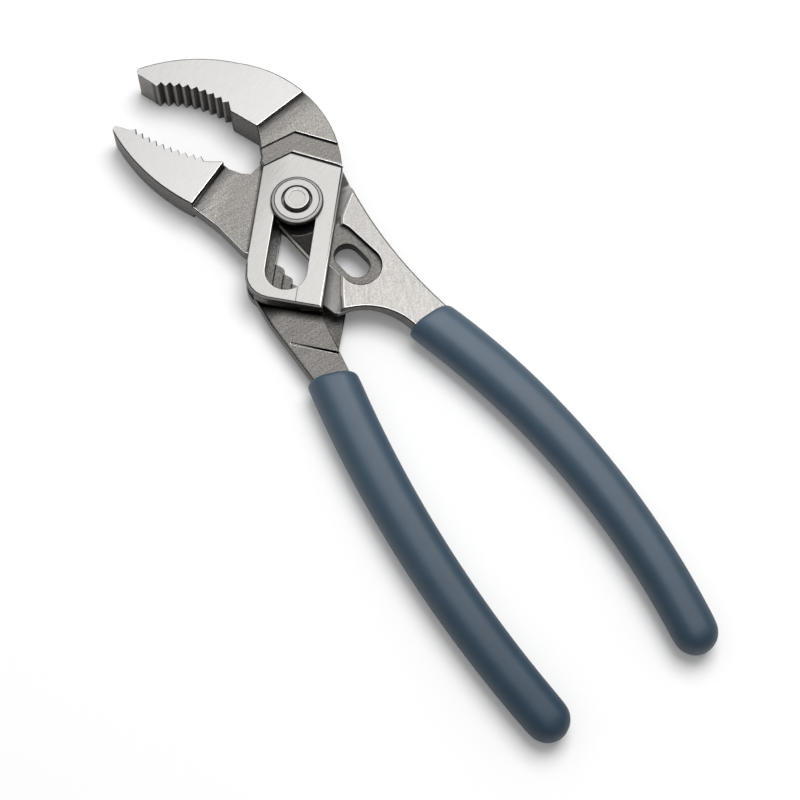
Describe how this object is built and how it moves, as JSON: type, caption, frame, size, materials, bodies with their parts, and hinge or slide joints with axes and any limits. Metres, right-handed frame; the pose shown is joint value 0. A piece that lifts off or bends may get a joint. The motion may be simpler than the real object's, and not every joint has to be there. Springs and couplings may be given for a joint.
{
  "type": "water pump pliers",
  "caption": "Hand pliers with offset toothed jaws, a slotted box joint, a sliding pivot with a push button, and bowed handles in vinyl sleeves.",
  "frame": {"origin": "centre of the pivot bolt's back end, on the plane the tool lies on", "axes": "+Y along the tool towards the jaws, +Z out of the front face, where the button is"},
  "size_m": [0.0741, 0.2652, 0.0154],
  "materials": {
    "forged_steel": "as forged, jaw and cheek faces ground",
    "satin_steel": "satin, jaw faces ground",
    "ground_steel": "ground",
    "spring_steel": "oiled",
    "grip_vinyl": "satin slate blue"
  },
  "bodies": {
    "outer": {"outer_arm": "forged_steel", "left_grip": "grip_vinyl"},
    "pivot": {"pivot_bolt": "ground_steel", "back_washer": "ground_steel", "retaining_ring": "spring_steel", "button_spring": "spring_steel"},
    "inner": {"inner_arm": "satin_steel", "right_grip": "grip_vinyl"},
    "button": {"push_button": "ground_steel", "lock_key": "spring_steel"}
  },
  "joints": [
    {"name": "slot_slide", "type": "slide", "parent": "outer", "child": "pivot", "axis": [-0.6691, -0.7431, 0], "range_m": [0, 0.0093]},
    {"name": "handle_hinge", "type": "hinge", "parent": "pivot", "child": "inner", "pos_m": [0, 0, 0], "axis": [0, 0, 1], "range_deg": [-9, 15]},
    {"name": "button_press", "type": "slide", "parent": "pivot", "child": "button", "axis": [0, 0, -1], "range_m": [0, 0.001], "stiffness_N_per_m": 600, "springref_m": -0.002, "deforming": ["button_spring"]}
  ]
}
